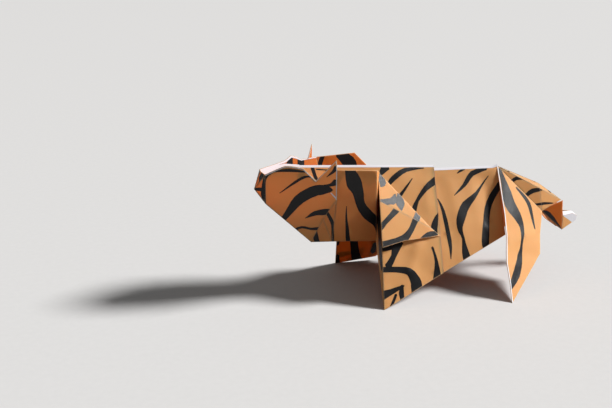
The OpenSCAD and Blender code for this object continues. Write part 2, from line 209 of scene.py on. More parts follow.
class Corners:
    """The corners of the near side, in millimetres from the line between the front feet."""

    def __init__(self, body):
        back = body.back_h / MM
        half_tail = body.tail_w / MM / 2
        self.hip = point(body.back_l / MM, 0, back - 1.7)
        self.crest = point(20.3, 0, back)
        self.saddle = point(20.3, 0, back - 0.9)
        self.neck_end = point(-21.5, 0, back + 3.3)
        self.front_foot = point(0, -body.front_feet / MM / 2, 0)
        self.hind_foot = point(33.8, -body.hind_feet / MM / 2, 0)
        front_n = normal_of(self.crest, self.neck_end, self.front_foot)
        self.front = Frame(self.crest, front_n)
        self.pleat_foot = on_plane(self.crest, front_n, 18.4, 6.6)
        self.shoulder = on_plane(self.crest, front_n, 4.2, back - 0.3)
        self.rear_pleat_foot = self.pleat_foot - front_n * 0.6
        rear_n = normal_of(self.hip, self.saddle, self.rear_pleat_foot)
        self.rear = Frame(self.hip, rear_n)
        self.belly = on_plane(self.hip, rear_n, self.hip.x - 0.9, 13.6)
        self.lap_top = self.saddle + (self.saddle - self.hip).normalized() * 4
        self.lap_foot = self.rear_pleat_foot + (self.front_foot - self.belly).normalized() * 4

        nose_x = -body.nose_reach / MM
        self.muzzle = point(nose_x + 2.2, -2.7, back + 2.1)
        self.nose = point(nose_x, 0, back - 2.2)
        self.nose_top = point(nose_x + 1.7, 0, back + 2.3)
        self.jaw = point(nose_x + 3, 0, back - 6.5)
        self.chin = point(-14.4, 0, back - 18.3)
        face_n = -normal_of(self.muzzle, self.chin, self.jaw)
        self.face = Frame(self.chin, face_n)
        self.cheek = on_plane(self.chin, face_n, -10.4, back + 3.6)
        self.ruff_back = point(0.5, -body.ruff_w / MM / 2, back + 2.4)
        self.throat = point(3.6, -1.4, back - 19.4)
        ruff_n = normal_of(self.cheek, self.throat, self.ruff_back)
        self.ruff = Frame(self.cheek, ruff_n)
        fold = face_n.cross(ruff_n)
        self.cheek_turn = self.cheek + fold * ((back - 5.1 - self.cheek.z) / fold.z)
        self.chin_back = on_plane(self.cheek, ruff_n, -9.3, back - 17.9)
        turn = self.face.to(self.cheek_turn)
        self.jowl = Vector((turn.x * 0.47, turn.y * 0.56))
        self.jowl_point = self.face.at(self.jowl)

        tail_x = body.tail_reach / MM
        self.bend = point(tail_x - 5.8, 0, 19)
        self.tail_corner = point(tail_x - 13.2, -half_tail - 0.9, 17)
        self.knuckle = point(tail_x - 13.8, 0, 24.7)
        self.knuckle_side = self.knuckle + point(0, -0.8 * half_tail, -1.3)
        self.inner_top = self.bend + point(-0.4, -1.1 * half_tail, 0.2)
        self.inner_corner = self.tail_corner + point(0.4, 0.7 * half_tail, -0.1)
        self.inner_low = point(tail_x - 9.8, -0.64 * half_tail, 13.4)
        self.tail_low = point(tail_x - 5.6, -1.1 * half_tail, 10.4)
        self.tip_root = self.tail_low + point(0, 0, 4.2)
        self.tip_shoulder = point(tail_x - 1.8, -0.4 * half_tail, 14.6)
        self.tip_end = point(tail_x, 0, 13.6)
        self.tip_low = point(tail_x - 0.2, 0, 12.3)
        self.tip_side = point(tail_x - 1.6, -0.24 * half_tail, 11.8)
        self.tip_crown = [point(tail_x - 5.4, 0, 15), point(tail_x - 2.2, 0, 15.3)]
        self.leg = Frame(self.hip, normal_of(self.hip, self.hind_foot, self.tail_corner))

        shoulder = self.front.to(self.shoulder)
        self.tuck_top = self.front.at(shoulder + Vector((-0.3, 0)))
        self.tuck_crease = self.front.at(shoulder + Vector((-2, -8.1)), 2)
        self.tuck_low = self.front.at(shoulder + Vector((-3.6, -20.2)), 2.7)
        self.tuck_tip = self.front.at(shoulder + Vector((14.2, -18.8)), 0.3)
        self.tuck = Frame(self.tuck_crease, normal_of(self.tuck_crease, self.tuck_low, self.tuck_tip))


# Outlines and strokes in a panel's plane, in millimetres

def curve_through(points, steps):
    """A smooth line through points, each of any length, by Catmull-Rom."""
    rows = [Vector(p) for p in points]
    line = []
    for i in range(len(rows) - 1):
        a, b, c, d = rows[max(i - 1, 0)], rows[i], rows[i + 1], rows[min(i + 2, len(rows) - 1)]
        for k in range(steps):
            u = k / steps
            doubled = 2 * b + (c - a) * u
            doubled += (2 * a - 5 * b + 4 * c - d) * u ** 2
            doubled += (3 * b - a - 3 * c + d) * u ** 3
            line.append(doubled / 2)
    line.append(rows[-1])
    return line


def stroke(stations, ragged=0.0, steps=3):
    """A stripe's outline from stations (along, up, width) down its middle, with slightly wandering edges."""
    rows = curve_through(stations, steps)
    last = len(rows) - 1
    left, right = [], []
    for i, row in enumerate(rows):
        ahead = (rows[min(i + 1, last)] - rows[max(i - 1, 0)]).xy.normalized()
        aside = Vector((-ahead.y, ahead.x))
        for side, edge in ((1, left), (-1, right)):
            place = Vector((row.x * WANDER_SPREAD, row.y * WANDER_SPREAD, side * WANDER_SPLIT))
            wander = noise.noise(place) * ragged * 2
            edge.append(row.xy + aside * side * (max(row.z, THINNEST) / 2 + wander * min(1, row.z)))
    head = (rows[0] - rows[1]).xy.normalized() * rows[0].z * END_REACH
    tail = (rows[last] - rows[last - 1]).xy.normalized() * rows[last].z * END_REACH
    return [rows[0].xy + head] + left + [rows[last].xy + tail] + right[::-1]


def band(points, width):
    """A stroke of even width along an edge."""
    return stroke([(p[0], p[1], width) for p in points], steps=1)


def closer(outline, step):
    """The outline with points added so that none are further apart than a step."""
    points = []
    for i, a in enumerate(outline):
        b = outline[(i + 1) % len(outline)]
        count = max(1, math.ceil((b - a).length / step))
        points += [a.lerp(b, k / count) for k in range(count)]
    return points


def area_of(outline):
    return sum(a.x * b.y - b.x * a.y for a, b in zip(outline, outline[1:] + outline[:1])) / 2


def inside(q, outline):
    """Whether the outline winds round a point, also where the outline crosses itself."""
    turns = 0
    for a, b in zip(outline, outline[1:] + outline[:1]):
        if (a.y > q.y) != (b.y > q.y) and q.x < a.x + (q.y - a.y) / (b.y - a.y) * (b.x - a.x):
            turns += 1 if b.y > a.y else -1
    return turns != 0


class Reach:
    """The upright box round an outline."""

    def __init__(self, outline):
        self.low = Vector((min(q.x for q in outline), min(q.y for q in outline)))
        self.high = Vector((max(q.x for q in outline), max(q.y for q in outline)))

    def has(self, q):
        return self.low.x <= q.x <= self.high.x and self.low.y <= q.y <= self.high.y


def distance_to(q, outline):
    best = 1e9
    for a, b in zip(outline, outline[1:] + outline[:1]):
        d = b - a
        u = max(0.0, min(1.0, (q - a).dot(d) / max(d.length_squared, 1e-12)))
        best = min(best, (a + d * u - q).length)
    return best


class Panel:
    """A flat panel of paper with its print: strokes on the outer side and on the inner side.

    bow scales the swell of its middle. Its painted shade is the share of the darker, redder inner orange
    painted on its outer face, for shade and for light coming through the paper.
    """

    def __init__(
        self, f, outline, black=(), white=(), inner_black=(), inner_white=(), bow=1.0, creases=(), tone=0.0
    ):
        self.f = f
        self.outline = [Vector(q[:2]) for q in outline]
        if area_of(self.outline) < 0:
            self.outline.reverse()
        self.prints = {
            ("black", 1): list(black), ("white", 1): list(white),
            ("black", -1): list(inner_black), ("white", -1): list(inner_white),
        }
        self.bow = bow
        self.creases = creases
        self.tone = tone


def facet(corners, **prints):
    """A panel from its corners in space."""
    f = Frame(corners[0], normal_of(*corners[:3]))
    return Panel(f, [f.to(p) for p in corners], **prints)


# Meshes from panels

class Sheets:
    """Collects points and faces for one piece, in millimetres, and writes them as one mesh.

    Each point carries its place on the sheet, its share of the lighter fold colour (scuffed print, and in
    part a painted highlight) and its share of painted shade, the darker, redder inner orange.
    """

    def __init__(self):
        self.points, self.faces, self.flat, self.wear, self.inner = [], [], [], [], []

    # Besides its place, a point carries its share of the lighter fold colour (scuffed print, and in part a
    # painted highlight). Its last value is its share of painted shade
    def add(self, p, q, wear=0.0, inner=0.0):
        self.points.append(Vector((p.x, p.y, max(0.0, p.z))))
        self.flat.append(q)
        self.wear.append(wear)
        self.inner.append(inner)
        return len(self.points) - 1

    def object(self, name, material):
        mesh = bpy.data.meshes.new(name)
        shift = Vector((-middle_x(bpy.context.scene.tiger_body), 0, 0))
        mesh.from_pydata([(p + shift) * MM for p in self.points], [], self.faces)
        uv = mesh.uv_layers.new(name="sheet")
        for loop in mesh.loops:
            uv.data[loop.index].uv = self.flat[loop.vertex_index] * SHEET_SCALE
        # Each point's lighter fold colour and its share of painted shade, for the paper's material
        for label, values in (("fold_wear", self.wear), ("painted_shade_share", self.inner)):
            mesh.attributes.new(label, "FLOAT", "POINT").data.foreach_set("value", values)
        mesh.polygons.foreach_set("use_smooth", [True] * len(mesh.polygons))
        mesh.set_sharp_from_angle(angle=math.radians(SHARP_ANGLE))
        mesh.materials.append(material)
        mesh.validate()
        piece = bpy.data.objects.new(name, mesh)
        bpy.context.scene.collection.objects.link(piece)
        return piece


def crease_height(q, creases):
    """Height added by soft creases, each (start, end, height, half width)."""
    total = 0.0
    for a, b, height, half in creases:
        a, b = Vector(a), Vector(b)
        d = (b - a).normalized()
        along = (q - a).dot(d)
        across = abs((q - a).x * -d.y + (q - a).y * d.x)
        left = (b - a).length - along
        ends = max(0.0, min(1.0, along / CREASE_FADE)) * max(0.0, min(1.0, left / CREASE_FADE))
        total += height * ends * max(0.0, 1 - across / half)
    return total


class Paper:
    """A panel cut into triangles along its outline and its strokes."""

    def __init__(self, panel, paper):
        self.panel = panel
        self.wave = paper.wave / MM * panel.bow
        grid = paper.grid / MM
        outline = closer(panel.outline, grid)
        count = len(outline)
        points = list(outline)
        for i, q in enumerate(outline):
            d = (outline[(i + 1) % count] - outline[i - 1]).normalized()
            inset = q + Vector((-d.y, d.x)) * EDGE_INSET
            if inside(inset, panel.outline) and distance_to(inset, panel.outline) > EDGE_INSET * 0.8:
                points.append(inset)
        low, high = Reach(outline).low, Reach(outline).high
        row_h = grid * ROW_SHARE
        for j in range(int((high.y - low.y) / row_h) + 1):
            for i in range(int((high.x - low.x) / grid) + 2):
                q = Vector((low.x + (i + 0.5 * (j % 2)) * grid, low.y + (j + 0.5) * row_h))
                if inside(q, panel.outline) and distance_to(q, panel.outline) > EDGE_INSET * 1.7:
                    points.append(q)
        faces = [list(range(count))]
        marks = [(kind, loop, Reach(loop)) for kind, loops in panel.prints.items() for loop in loops]
        for kind, loop, reach in marks:
            start = len(points)
            points += loop
            faces.append(list(range(start, len(points))))
        cut = delaunay_2d_cdt(points, [], faces, 1, 1e-5, True)
        self.flat = [Vector(q) for q in cut[0]]
        self.triangles, self.kinds = [], []
        for tri in cut[2]:
            a, b, c = (self.flat[i] for i in tri)
            middle = (a + b + c) / 3
            if inside(middle, panel.outline):
                turned = (b - a).x * (c - a).y - (b - a).y * (c - a).x < 0
                self.triangles.append(tuple(reversed(tri)) if turned else tuple(tri))
                self.kinds.append(
                    {kind for kind, loop, reach in marks if reach.has(middle) and inside(middle, loop)}
                )
        self.out = self.outward(self.triangles)
        self.from_edge = [distance_to(q, panel.outline) for q in self.flat]
        self.height = [self.bow_at(q, d) for q, d in zip(self.flat, self.from_edge)]

    def bow_at(self, q, from_edge):
        """How far the panel stands out of its plane: nothing at its edges, more towards its middle."""
        hold = min(1.0, from_edge / BOW_REACH)
        hold = hold * hold * (3 - 2 * hold)
        place = self.panel.f.at(q) * BOW_SPREAD
        return hold * noise.noise(place) * self.wave * 2 + crease_height(q, self.panel.creases)

    def outward(self, triangles):
        """For each point of an edge, the way out of the panel, long enough to keep a corner square."""
        edges = {}
        for tri in triangles:
            for a, b in zip(tri, tri[1:] + tri[:1]):
                edges[(a, b)] = (self.flat[b] - self.flat[a]).normalized()
        rim = {e: d for e, d in edges.items() if (e[1], e[0]) not in edges}
        ways = {}
        for (a, b), d in rim.items():
            side = Vector((d.y, -d.x))
            for i in (a, b):
                ways.setdefault(i, []).append(side)
        out = {}
        for i, sides in ways.items():
            mean = sum(sides, Vector((0, 0)))
            if mean.length < 1e-6:
                mean = sides[0].copy()
            mean.normalize()
            out[i] = mean * min(CORNER_REACH, 1 / max(0.5, mean.dot(sides[0])))
        self.rim_edges = list(rim)
        return out

    def place(self, i, h=0.0, aside=0.0):
        q = self.flat[i] + self.out[i] * aside if aside else self.flat[i]
        return self.panel.f.at(q, self.height[i] + h)

    # How far a point lies in the lighter strip along the panel's edge: scuffed print, and in part a painted
    # highlight
    def worn_and_lit(self, i):
        return max(0.0, 1 - self.from_edge[i] / WORN_LIT_W)

    def slab(self, sheets, half):
        """The sheet itself, with rounded edges that meet the next panel's at a fold."""
        used = sorted({i for tri in self.triangles for i in tri})
        # The outer face takes the panel's share of painted shade. The inner face takes the darker inner
        # orange in full, as painted shade and light through the paper
        top = {i: sheets.add(self.place(i, half), self.flat[i], self.worn_and_lit(i), self.panel.tone) for i in used}
        low = {i: sheets.add(self.place(i, -half), self.flat[i], self.worn_and_lit(i), INNER_PAINTED_SHADE) for i in used}
        for a, b, c in self.triangles:
            sheets.faces.append((top[a], top[b], top[c]))
            sheets.faces.append((low[c], low[b], low[a]))
        rows = [top]
        # The rounded edge takes the lighter fold colour in full (scuffed print, and in part a painted
        # highlight) and the panel's painted shade
        for angle in (EDGE_TURN, 0, -EDGE_TURN):
            h, aside = half * math.sin(math.radians(angle)), half * math.cos(math.radians(angle))
            rows.append({
                i: sheets.add(self.place(i, h, aside), self.flat[i], 1.0, self.panel.tone) for i in self.out
            })
        rows.append(low)
        for above, below in zip(rows, rows[1:]):
            for a, b in self.rim_edges:
                sheets.faces.append((above[b], above[a], below[a], below[b]))

    def print(self, sheets, kind, half, proud, hidden_by=None):
        """A thin closed patch over each stroke of one kind, just proud of the paper."""
        side = kind[1]
        over = half * side + proud * side
        under = half * side - proud * 2 * side
        chosen = [
            tri for tri, kinds in zip(self.triangles, self.kinds)
            if kind in kinds and hidden_by not in kinds
        ]
        if not chosen:
            return
        edges = {(a, b) for tri in chosen for a, b in zip(tri, tri[1:] + tri[:1])}
        used = sorted({i for tri in chosen for i in tri})
        # Prints also turn lighter along the panel's edge: scuffed print, and in part a painted highlight
        top = {i: sheets.add(self.place(i, over), self.flat[i], self.worn_and_lit(i)) for i in used}
        low = {i: sheets.add(self.place(i, under), self.flat[i], self.worn_and_lit(i)) for i in used}
        for a, b, c in chosen:
            faces = [(top[a], top[b], top[c]), (low[c], low[b], low[a])]
            sheets.faces += faces if side > 0 else [face[::-1] for face in faces]
        for a, b in edges:
            if (b, a) not in edges:
                wall = (top[b], top[a], low[a], low[b])
                sheets.faces.append(wall if side > 0 else wall[::-1])


# Stripes, each a row of (along, up, width) in its panel's plane, in millimetres

NECK = [
    [(-34.5, 2.5, 1), (-34, -0.5, 1)],
    [(-33.5, 2, 0.3), (-30.5, 1.5, 0.3)],
]
FRONT = [
    # A black band just under the tuck's lower edge: in part print, in part the tuck's shadow painted in black
    [(-19.5, -20.5, 2), (-13.5, -20, 2)],
    [(-3, -0.5, 0.2), (-8.5, -0.5, 1.2), (-12.5, -2.5, 1.5), (-14, -4, 1)],
    [(-14, 1, 2.5), (-16, -1, 1)],
    [(-7, -3, 0.2), (-9, -5, 0.6), (-11.5, -7.5, 1)],
    [(0, -4, 2), (-3.5, -6, 1.5), (-6.5, -9, 1), (-8, -11.5, 1.5)],
    [(-1, -13, 0.2), (-2, -14.5, 1.2), (-3, -17, 2), (-2.5, -18.5, 0.6)],
    [(-14.5, -20, 3), (-16, -23, 1.5), (-18, -25.5, 2)],
    [(-21, -26, 1.5), (-16, -26.5, 1.5), (-12.5, -27.5, 2), (-11, -30, 3), (-11, -32, 3.2),
        (-12, -34.5, 1.5)],
    [(-22, -33, 2.5), (-18, -32, 1.5), (-14.5, -31, 0.5)],
    [(-15, -31, 1), (-15.5, -33, 1.4), (-15.5, -35, 1)],
    [(-17, -33, 0.7), (-19, -36, 0.8)],
    [(-4.5, -22, 0.7), (-4, -26, 1), (-4.5, -30.5, 2.5)],
]
REAR = [
    [(-19.5, -7.5, 0.3), (-18.5, -11, 1), (-18, -19, 1.2), (-18.5, -24, 0.2)],
    [(-12.5, -1, 0.2), (-11.5, -0.5, 0.6), (-10, 0, 0.4)],
    [(-14.5, -7, 0.2), (-11, -4.5, 1), (-8, -1.5, 1.5), (-3.5, -0.5, 0.8)],
    [(-3, -2.5, 0.2), (-7.5, -7, 1), (-11.5, -10, 2.5), (-13.5, -13, 2.6), (-14.5, -16, 1.6),
        (-14, -19, 0.8), (-14, -22.5, 2), (-13.5, -26, 2.7)],
    [(0, -5, 1.5), (-4, -10, 1.8), (-6, -15, 2), (-7.5, -20.5, 2.3), (-7.5, -22.5, 1.7)],
]
TUCK = [
    [(5, -2.5, 1.8), (1, -5, 1.3), (-2, -7, 1.5)],
    [(10.5, -5, 2), (7.5, -8.5, 1.6), (5, -10.5, 2), (2, -11.5, 2.6), (-2.5, -11.5, 2.2)],
    [(8.5, -12.5, 0.8), (12, -11, 1.4), (15, -11, 1.2)],
]
TUCK_BAND = [
    [(0, -1, 1.6), (0, -3, 2.3), (-1, -4, 0.6)],
    [(-4, -8.5, 2.4), (-0.5, -8.5, 1.7), (1, -8.5, 2), (2.5, -7, 0.5)],
    [(4, -7, 1.2), (3, -9.5, 2.8), (2.5, -11.5, 0.7)],
    [(7.5, -13.5, 1.7), (6, -15, 2)],
]
FACE = [
    [(-9.5, 22.5, 0.4), (-11.5, 21, 1), (-12, 18, 0.9), (-12, 12, 0.8)],
    [(-9.5, 22.5, 0.3), (-5.5, 23, 1), (-1.5, 22.5, 0.4)],
    [(-8, 16, 0.2), (-4, 19.5, 0.7), (-1.5, 21, 0.7), (0, 21, 0.4)],
    [(-8, 6.5, 1.2), (-6, 9.5, 1.8), (-3, 14, 3), (0.5, 16.5, 3.3), (3, 17, 3), (5, 17, 1.5)],
    [(3, 18, 1), (5, 18.5, 1), (6.5, 19.5, 2)],
    [(4, 21, 0.2), (5.5, 22.5, 0.8), (6.5, 24, 1.4)],
    [(-1.5, 8, 0.2), (1, 9.5, 1.4), (3.5, 10, 2), (5, 10.5, 1)],
    [(-5, 3.5, 0.9), (-2.5, 5, 0.8), (0, 4.5, 0.8), (2, 4.5, 1.1)],
]
RUFF = [
    [(4, -11.5, 0.2), (4.5, -16, 0.6), (6, -23.5, 1.3)],
    [(3, 0.5, 2), (5, -4, 4), (6.5, -7, 3), (8, -11.5, 2.4), (10.5, -15, 2.8), (13.5, -18, 2.3),
        (15, -21, 2.4)],
    [(0.5, -16, 0.9), (1.5, -23, 0.8)],
]
CHEEK = [
    [(-2.5, -4, 0.8), (-1, -8, 1), (-1, -14, 0.8)],
]
CHIN = [
    [(-2, -3, 0.5), (-2, -6, 1.4), (-1.5, -8, 1.3)],
]
MUZZLE_TOP = [
    [(-1, 1, 1.5), (-1.5, -1.5, 2)],
]
MUZZLE_FRONT = [
    [(0, -0.5, 1), (-1, -6, 1.2), (-0.5, -8.5, 1)],
    [(-3, -4.5, 1), (-1, -4.5, 1.2)],
]
LEG_FACE = [
    [(1, -6, 3.5), (5, -14, 5), (8.5, -20, 4), (11, -23, 2)],
]
COLLAR = [
    [(6, -14.5, 1.5), (7, -18, 2.5), (7.5, -22, 3)],
]
HIND_LEG = [
    [(0.5, -1, 1), (0, -6, 3), (-1, -11, 4.5), (0, -15, 3.5), (0, -18.5, 1.8), (-2.5, -22.5, 0.8),
        (-5, -25.5, 1.8), (-8, -28.5, 2.5), (-11, -30.5, 2.2), (-14.5, -32.5, 0.8)],
    [(4.5, -7.5, 0.7), (6.5, -11, 1.4), (7, -14, 1.5), (5.5, -20, 0.5)],
]
TAIL_SIDE = [
    [(4, -5, 0.7), (6, -4, 1.1), (9.5, -4.5, 0.4)],
    [(8.5, -9.5, 0.9), (11, -8, 1.4), (14.5, -8, 0.7)],
    [(11.5, -12, 0.6), (15.5, -12, 0.9)],
]
TAIL_REAR = [
    [(-2, 2, 0.9), (1, 2, 0.8), (4.5, 1.5, 0.3)],
    [(-2.5, 6.5, 1.5), (0.5, 6, 0.5)],
]
TAIL_INNER = [
    [(0, -0.5, 1.1), (2.5, -1.5, 1.3), (6.5, -6, 0.8)],
]
FACE_INNER = [
    [(-1.5, 23, 1), (-2.5, 21, 2.3)],
    [(1.5, 22.5, 2.2), (1, 20, 2)],
]
RUFF_INNER = [
    [(2, -0.5, 1.3), (0.5, -4, 1.2)],
    [(6.5, -0.5, 2.5), (9, -3, 3.8), (9.5, -4.5, 3.6)],
]
FRONT_INNER = [
    [(-22.5, -33, 1.2), (-22, -38, 2.5)],
    [(-18.5, -26.5, 2.3), (-17, -33, 2.5), (-15.5, -37, 3.4)],
    [(-23, -27, 0.8), (-23, -28.5, 0.6)],
    [(-11.5, -29.5, 1.2), (-11.5, -33, 1.7)],
]

# The far side where it differs from the near one: edges as (along, up), white lines as (along, up, width)

FAR_LEG = [(-10.5, -35), (-22.5, -36.5), (-23.5, -27), (-22, -10)]
FAR_RIM = [(-7, 22), (-3.5, 22.5), (-1.5, 23.5), (0, 23), (1.5, 22), (6.5, 22)]
FAR_RIM_WHITE = [
    (-11.5, 21.5, 1), (-7, 22, 0.8), (-3.5, 22.5, 1), (-1.5, 23.5, 1), (0, 23, 0.9), (1.5, 22, 0.5),
    (6.5, 22, 0.4),
]
FAR_BROW_WHITE = [(-11.5, 20.5, 1.4), (-7.5, 21, 1.3), (-4, 21, 1.6), (0.5, 20.5, 0.6)]
FAR_RUFF = [(0, -1.1), (10.9, -0.7), (13.9, -4)]
FAR_EAR = [(-13, -7.5, 35), (-11, -10.5, 34), (-11.5, -9, 38.5)]  # points in space, before it is mirrored

# The near face's top edge, as offsets from the cheek

BROW = [(-15.3, 0), (-12.5, 1.1), (-8.5, 0.4)]
NOTCH = (-5.3, -3.3)
EAR_LOW = (-3, -0.6)
EAR_TIP = (-0.2, 2.9)

# The hind leg's edges, each (share of the way from the hip to the foot, how far to the left of it)

SHIN = [(0.18, 0.4), (0.36, 0.9), (0.51, 0.7), (0.72, -0.4), (0.87, 0.1)]
KNEE = [(0.6, 13.8), (0.45, 14.8)]

# Soft creases, each (start, end, height, half width) in its panel's plane

FRONT_CREASES = [
    ((-7, -19), (-13, -29), 0.4, 2.5), ((-14, -21), (-5, -31), -0.2, 4), ((-3, -2), (-4, -13), 0.2, 2),
]
REAR_CREASES = [
    ((-4.5, -1), (-4.2, -17), -0.7, 4), ((-15.5, -1), (-13.5, -21), 0.22, 3),
    ((-17.5, -24), (-7, -19), 0.2, 2.5),
]
RUFF_CREASES = [((2, 0), (2, -9), 0.15, 2)]
LEG_CREASES = [((-9, -20), (6, -21), 0.22, 2.5), ((-11, -24), (4, -27), -0.2, 2.5)]


def beside(a, b, part, off):
    """The point at a share of the way from a to b, and off to the left of it."""
    d = b - a
    return a + d * part + Vector((-d.y, d.x)).normalized() * off


def loose_panels(c, ink, far):
    """The near side's leg face and collar, or the far side's ear, a thin panel of its own."""
    if not far:
        return [
            facet([c.shoulder, c.throat, c.front_foot], black=ink(LEG_FACE), bow=0.5),
            # The collar's outer face carries painted shade
            facet([c.ruff_back, c.throat, c.shoulder], black=ink(COLLAR), bow=0, tone=COLLAR_PAINTED_SHADE),
        ]
    ear = [point(*p) for p in FAR_EAR]
    f = Frame(ear[0], normal_of(*ear))
    base, back, top = [f.to(p) for p in ear]
    edges = [band([base, top, back], EAR_WHITE)]
    return [Panel(f, [base, back, top], white=edges, inner_white=edges, bow=0)]


def front_outline(c, far):
    shoulder = c.front.to(c.shoulder)
    ridge = c.front.to(c.neck_end)
    leg = [Vector(q) for q in FAR_LEG] if far else [c.front.to(c.front_foot)]
    neck = [shoulder, shoulder + Vector((-4, -5)), ridge + Vector((8, -5))]
    return [ridge, Vector((0, 0)), c.front.to(c.pleat_foot)] + leg + neck


def body_panels(c, ink, far):
    """The front with its leg, the rear, the pleat between them and the fold tucked behind the shoulder."""
    rear_outline = [c.rear.to(p) for p in (c.hip, c.lap_top, c.lap_foot, c.rear_pleat_foot, c.belly)]
    low, tip = c.tuck.to(c.tuck_low), c.tuck.to(c.tuck_tip)
    tuck_edge = tip + Vector((-2.2, 2.5))
    tuck_outline = [Vector((0, 0)), low, (low + tip) / 2 + Vector((-2, 0.6)), tip, tuck_edge]
    return [
        Panel(
            c.front, front_outline(c, far), black=ink(NECK + FRONT),
            inner_black=ink(FRONT_INNER) if far else (), creases=FRONT_CREASES,
        ),
        Panel(c.rear, rear_outline, black=ink(REAR), creases=REAR_CREASES),
        facet([c.crest, c.lap_foot, c.pleat_foot], bow=0),
        facet([c.crest, c.lap_top, c.lap_foot], bow=0),
        Panel(c.tuck, tuck_outline, black=ink(TUCK), bow=0.6),
        facet([c.tuck_top, c.tuck_crease, c.tuck.at(tuck_edge)], black=ink(TUCK_BAND), bow=0.4),
    ]


def near_face(c):
    """The near face's outline, with its notch and ear, and its white on the outside and the inside."""
    cheek, turn = c.face.to(c.cheek), c.face.to(c.cheek_turn)
    brow = curve_through([c.face.to(c.muzzle)] + [cheek + Vector(q) for q in BROW], 4)
    notch, ear_low, ear_tip = [cheek + Vector(q) for q in (NOTCH, EAR_LOW, EAR_TIP)]
    slit = [(turn.x - 1.5, turn.y + 2.2, 0.25), (turn.x + 0.1, turn.y + 0.2, 0.4)]
    white = [
        band(brow + [notch], BROW_WHITE),
        band([ear_tip, cheek, turn], EAR_WHITE),
        stroke(slit),
        band([notch, ear_low, ear_tip], NOTCH_WHITE),
    ]
    inner_white = [band(brow, INNER_BROW_WHITE)]
    return brow + [notch, ear_low, ear_tip, cheek], white, inner_white


def far_face(c):
    """The far face's outline along its rim, and its white on the outside and the inside."""
    muzzle = c.face.to(c.muzzle)
    white = [band([muzzle] + FAR_RIM, EAR_WHITE)]
    inner_white = [stroke(FAR_RIM_WHITE, steps=1), stroke(FAR_BROW_WHITE, steps=1)]
    return [muzzle] + [Vector(q) for q in FAR_RIM], white, inner_white


def head_panels(c, ink, far):
    """The face, the ruff behind it, the cheek and chin facets between them, and the muzzle."""
    rim, white, inner_white = far_face(c) if far else near_face(c)
    face_outline = [Vector((0, 0)), c.face.to(c.jaw)] + rim + [c.face.to(c.cheek_turn), c.jowl]
    ruff_outline = [c.ruff.to(p) for p in (c.cheek, c.ruff_back, c.throat, c.chin_back, c.cheek_turn)]
    if far:
        ruff_outline = [Vector(q) for q in FAR_RUFF] + ruff_outline[2:]
    # The head's single-layer panels carry painted shade on their outer faces
    return [
        Panel(
            c.face, face_outline, black=ink(FACE), inner_black=ink(FACE_INNER), inner_white=inner_white,
            white=white, tone=FACE_PAINTED_SHADE,
        ),
        Panel(
            c.ruff, ruff_outline, black=ink(RUFF), inner_black=ink(RUFF_INNER), creases=RUFF_CREASES,
            tone=RUFF_PAINTED_SHADE,
        ),
        facet([c.cheek_turn, c.jowl_point, c.chin_back], black=ink(CHEEK), bow=0.4, tone=CHEEK_PAINTED_SHADE),
        facet([c.jowl_point, c.chin, c.chin_back], black=ink(CHIN), bow=0.4, tone=CHEEK_PAINTED_SHADE),
        facet([c.muzzle, c.nose_top, c.nose], black=ink(MUZZLE_TOP), bow=0, tone=MUZZLE_PAINTED_SHADE),
        facet([c.muzzle, c.nose, c.jaw], black=ink(MUZZLE_FRONT), bow=0, tone=MUZZLE_PAINTED_SHADE),
    ]


def leg_panel(c, ink):
    """The hind leg, with white along its front edge."""
    hip = Vector((0, 0))
    foot = c.leg.to(c.hind_foot)
    shin = [hip] + [beside(hip, foot, part, off) for part, off in SHIN] + [foot]
    knee = [beside(hip, foot, part, off) for part, off in KNEE]
    return Panel(
        c.leg, shin + knee + [c.leg.to(c.tail_corner)], black=ink(HIND_LEG),
        white=[band(shin, LEG_WHITE)], creases=LEG_CREASES,
    )


def tail_panels(c, ink):
    """The tail's side, its inner facets and its tip, which is white all over."""
    reach = 9  # more than the width of any facet of the tip
    whole = [Vector((x * reach, y * reach)) for x, y in SQUARE]
    bare = {"white": [whole], "inner_white": [whole], "bow": 0}
    return [
        facet([c.hip, c.knuckle_side, c.knuckle], bow=0.4),
        facet([c.knuckle, c.knuckle_side, c.bend], bow=0.3),
        facet([c.hip, c.tail_corner, c.knuckle_side], black=ink(TAIL_SIDE), bow=0.6),
        facet([c.tail_corner, c.bend, c.knuckle_side], black=ink(TAIL_REAR), bow=0.3),
        # The tail's inner facets are painted in the darker inner orange in full, as painted shade
        facet([c.inner_corner, c.tail_low, c.inner_top], black=ink(TAIL_INNER), bow=0.2, tone=INNER_PAINTED_SHADE),
        facet([c.inner_corner, c.inner_low, c.tail_low], bow=0.2, tone=INNER_PAINTED_SHADE),
        facet([c.tip_root, c.tail_low, c.tip_side], bow=0),
        facet([c.tip_root, c.tip_side, c.tip_shoulder], **bare),
        facet([c.tip_shoulder, c.tip_side, c.tip_low, c.tip_end], **bare),
        facet([c.tip_root, c.tip_shoulder, c.tip_crown[1], c.tip_crown[0]], **bare),
        facet([c.tip_shoulder, c.tip_end, c.tip_crown[1]], **bare),
    ]


def side_panels(c, ragged, far=False):
    """Every panel of one side, as it lies on the near side. The far leg, rim, ruff and ear differ."""
    def ink(rows):
        return [stroke(row, ragged) for row in rows]

    panels = loose_panels(c, ink, far) + body_panels(c, ink, far) + head_panels(c, ink, far)
    return panels + [leg_panel(c, ink)] + tail_panels(c, ink)


def middle_panels(c):
    """The panels that cross the middle, under the head."""
    def far(p):
        return Vector((p.x, -p.y, p.z))

    return [
        [c.chin, far(c.chin_back), c.chin_back],
        [c.chin_back, far(c.chin_back), far(c.throat), c.throat],
    ]


